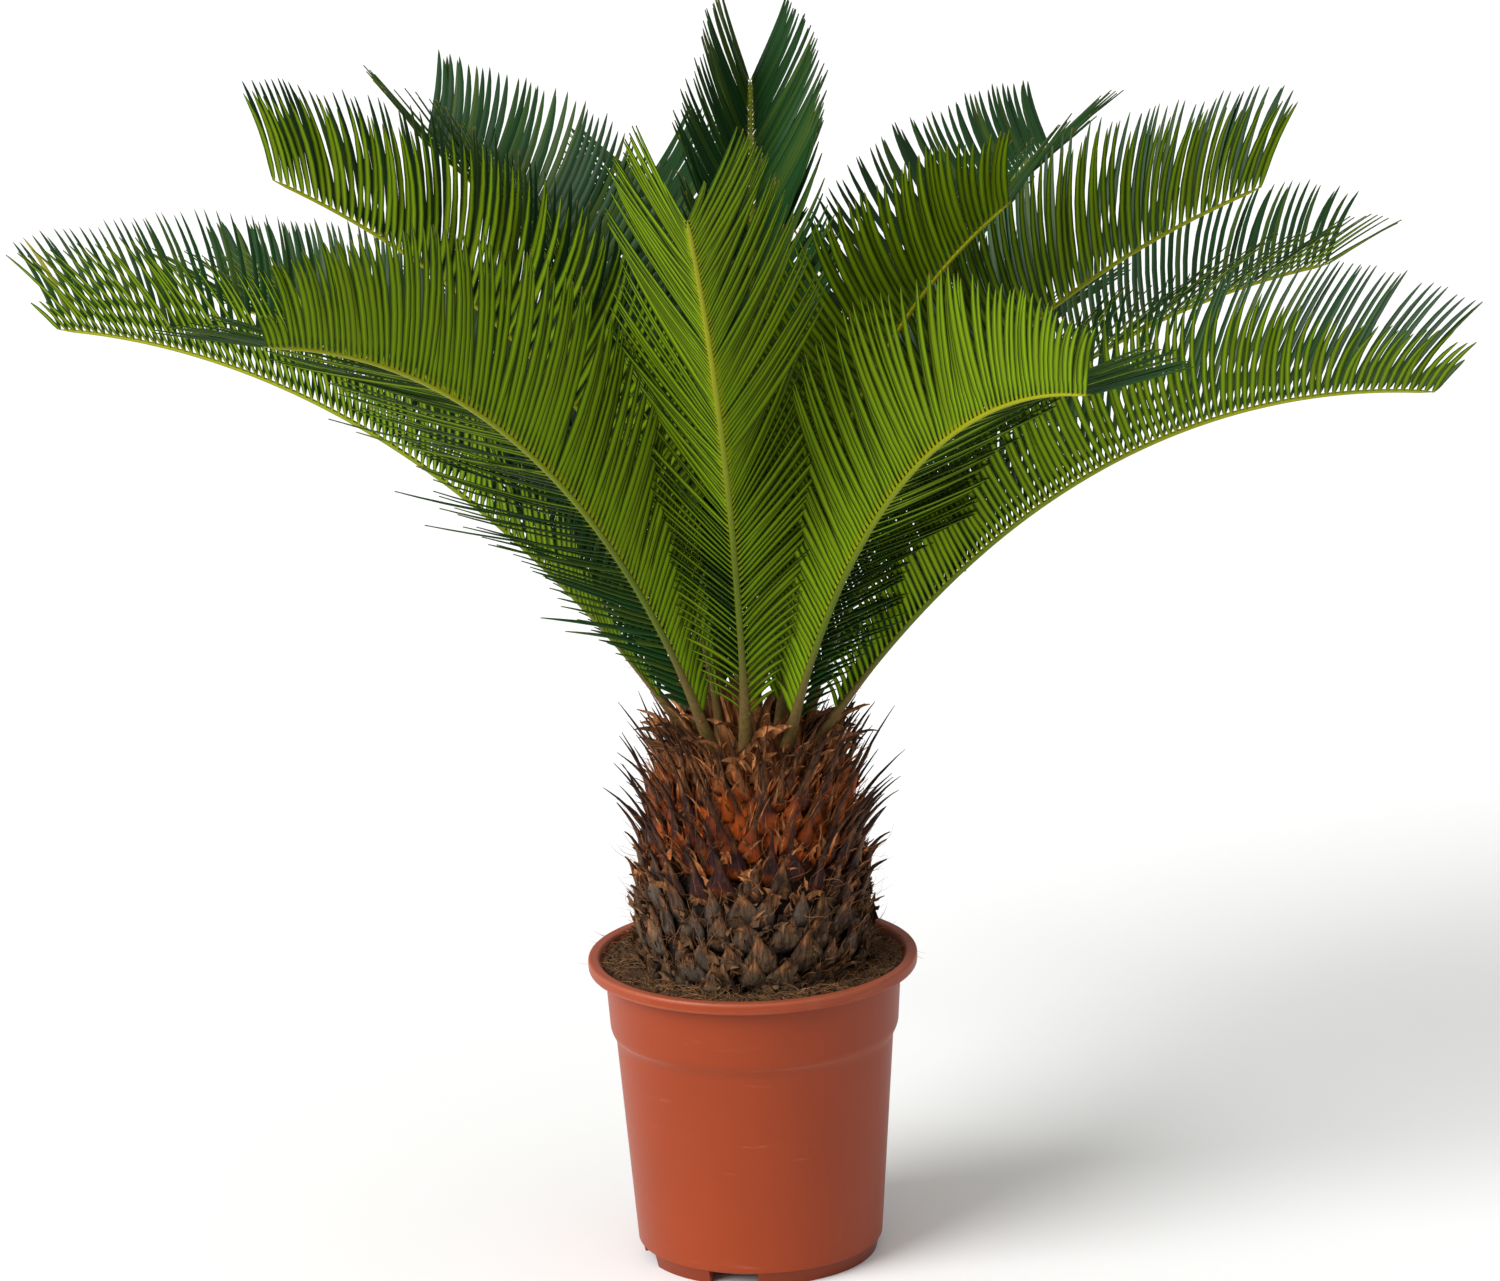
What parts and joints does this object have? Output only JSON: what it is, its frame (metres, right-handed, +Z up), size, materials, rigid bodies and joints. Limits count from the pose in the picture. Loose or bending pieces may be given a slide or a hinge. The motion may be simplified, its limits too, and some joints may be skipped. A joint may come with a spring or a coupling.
{
  "type": "potted sago palm",
  "caption": "Young sago palm with a scaly trunk and a crown of arching feather fronds, standing in a tapered plastic nursery pot filled with soil.",
  "frame": {"origin": "on the floor, under the middle of the plant's spread, 8 mm to the left of the pot's axis and 19 mm behind it", "axes": "+Z up; +X along the plant's widest spread, to the right in the picture; the picture's viewer stands on the -Y side"},
  "size_m": [0.9076, 0.7796, 0.7994],
  "materials": {
    "pot": "terracotta-coloured moulded plastic with a soft sheen",
    "soil": null,
    "trunk": "rough brown and grey old leaf bases, reddish and fibrous towards the crown",
    "leaf": null
  },
  "bodies": {
    "root": {"pot": "pot", "soil": "soil", "trunk": "trunk", "frond_01": "leaf", "frond_02": "leaf", "frond_03": "leaf", "frond_04": "leaf", "frond_05": "leaf", "frond_06": "leaf", "frond_07": "leaf", "frond_08": "leaf", "frond_09": "leaf", "frond_10": "leaf", "frond_11": "leaf", "frond_12": "leaf", "frond_13": "leaf", "frond_14": "leaf", "frond_15": "leaf", "frond_16": "leaf"}
  },
  "joints": []
}
